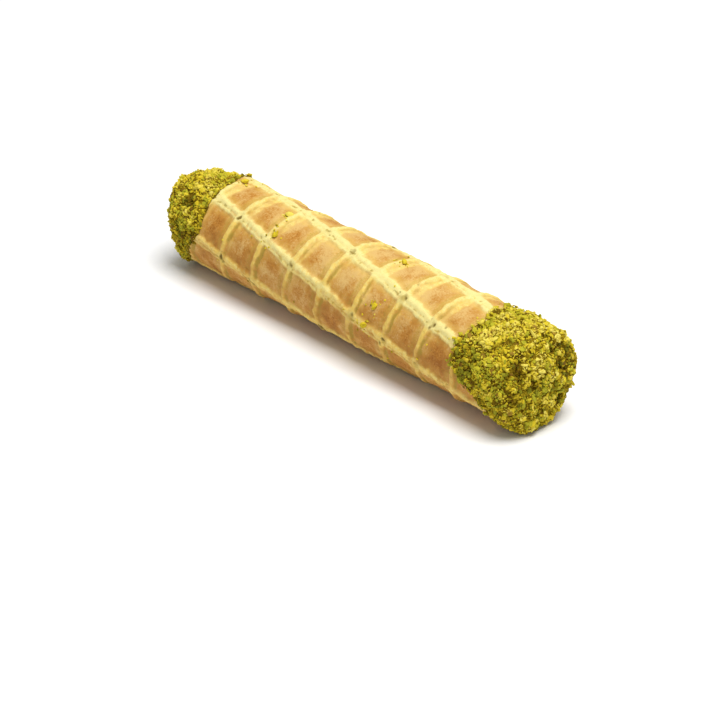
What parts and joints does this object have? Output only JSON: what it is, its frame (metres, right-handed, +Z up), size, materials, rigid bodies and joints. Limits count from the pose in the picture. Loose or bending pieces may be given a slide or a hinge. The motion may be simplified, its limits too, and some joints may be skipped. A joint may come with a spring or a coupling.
{
  "type": "filled wafer roll",
  "caption": "Lattice wafer biscuit rolled into a straight cylinder, its ends closed by a coat of crushed pistachio, lying on its side.",
  "frame": {"origin": "middle of the roll's outline on the surface it rests on", "axes": "+X along the roll towards its front nut end, +Y across it, +Z up"},
  "size_m": [0.1298, 0.0279, 0.0272],
  "materials": {
    "wafer": "matte baked wafer, golden brown panels and pale yellow ribs",
    "nut_coat": "rough crushed pistachio, yellow-green with olive and brown bits"
  },
  "bodies": {
    "root": {"wafer": "wafer", "nut_end_front": "nut_coat", "nut_end_back": "nut_coat"}
  },
  "joints": []
}
